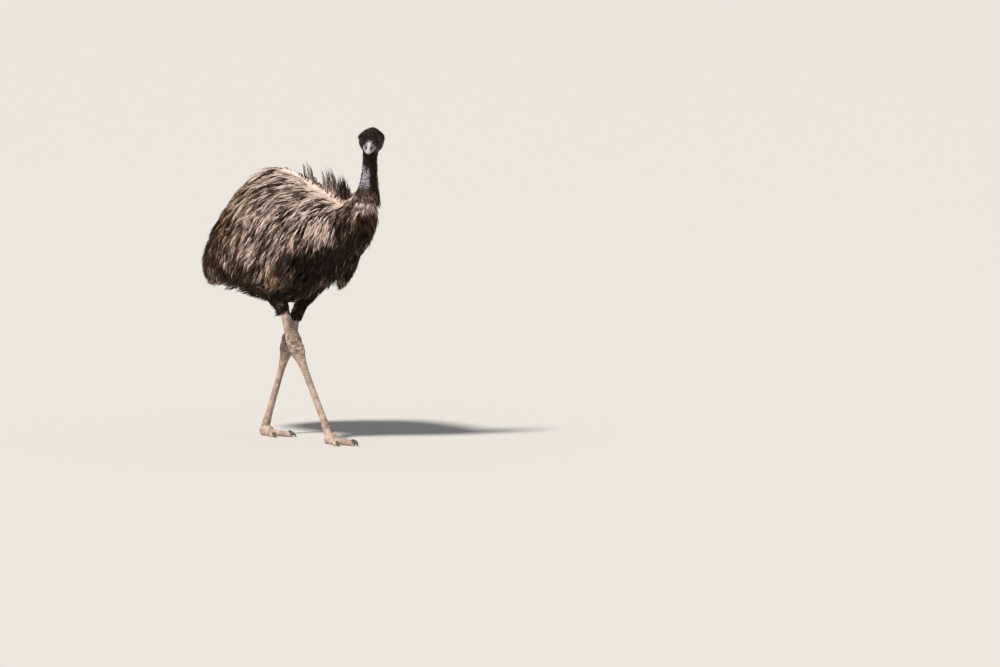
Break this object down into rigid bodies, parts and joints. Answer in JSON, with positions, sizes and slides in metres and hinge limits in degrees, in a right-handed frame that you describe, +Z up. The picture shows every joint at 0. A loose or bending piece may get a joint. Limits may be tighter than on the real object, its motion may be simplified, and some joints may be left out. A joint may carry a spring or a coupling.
{
  "type": "emu walking, museum-style model",
  "caption": "Life-size still emu in mid stride with its head turned to its right, shaggy dark plumage, bare neck patch and three-toed scaled legs; stands on its own feet.",
  "frame": {"origin": "on the ground, under the middle of the bird's outline seen from above", "axes": "+Z up from the ground, -Y the way the bird's body faces and walks, -X toward the bird's right side"},
  "size_m": [0.5064, 0.9854, 1.3819],
  "materials": {
    "dark_plumage": "matte loose feathers, brown-black with pale grey-brown streaks",
    "pale_plumage": "matte feathers, tan-brown with a whitish collar",
    "black_plumage": "matte hair-like feathers, near black",
    "neck_skin": "bare wrinkled skin, pale bluish grey",
    "bill_horn": "satin horn, pale lavender grey",
    "eye": "wet and dark brown, nearly black",
    "leg_scale": "rough scaled skin, pinkish grey-brown",
    "claw_horn": "dull dark horn"
  },
  "bodies": {
    "root": {"tail": "dark_plumage", "rump": "dark_plumage", "trunk": "dark_plumage", "breast": "dark_plumage", "mantle_plume_rear": "dark_plumage", "mantle_plume_middle": "dark_plumage", "mantle_plume_front": "dark_plumage", "neck_lower": "pale_plumage", "neck_middle": "neck_skin", "neck_upper": "black_plumage", "head": "black_plumage", "wing_left": "black_plumage", "wing_right": "black_plumage", "thigh_left": "black_plumage", "thigh_right": "black_plumage", "bill_upper": "bill_horn", "bill_lower": "bill_horn", "eye_left": "eye", "eye_right": "eye", "shank_left": "leg_scale", "shank_right": "leg_scale", "hock_left": "leg_scale", "hock_right": "leg_scale", "tarsus_left": "leg_scale", "tarsus_right": "leg_scale", "foot_left": "leg_scale", "foot_right": "leg_scale", "toe_inner_left": "leg_scale", "toe_inner_right": "leg_scale", "toe_middle_left": "leg_scale", "toe_middle_right": "leg_scale", "toe_outer_left": "leg_scale", "toe_outer_right": "leg_scale", "claw_inner_left": "claw_horn", "claw_inner_right": "claw_horn", "claw_middle_left": "claw_horn", "claw_middle_right": "claw_horn", "claw_outer_left": "claw_horn", "claw_outer_right": "claw_horn"}
  },
  "joints": []
}
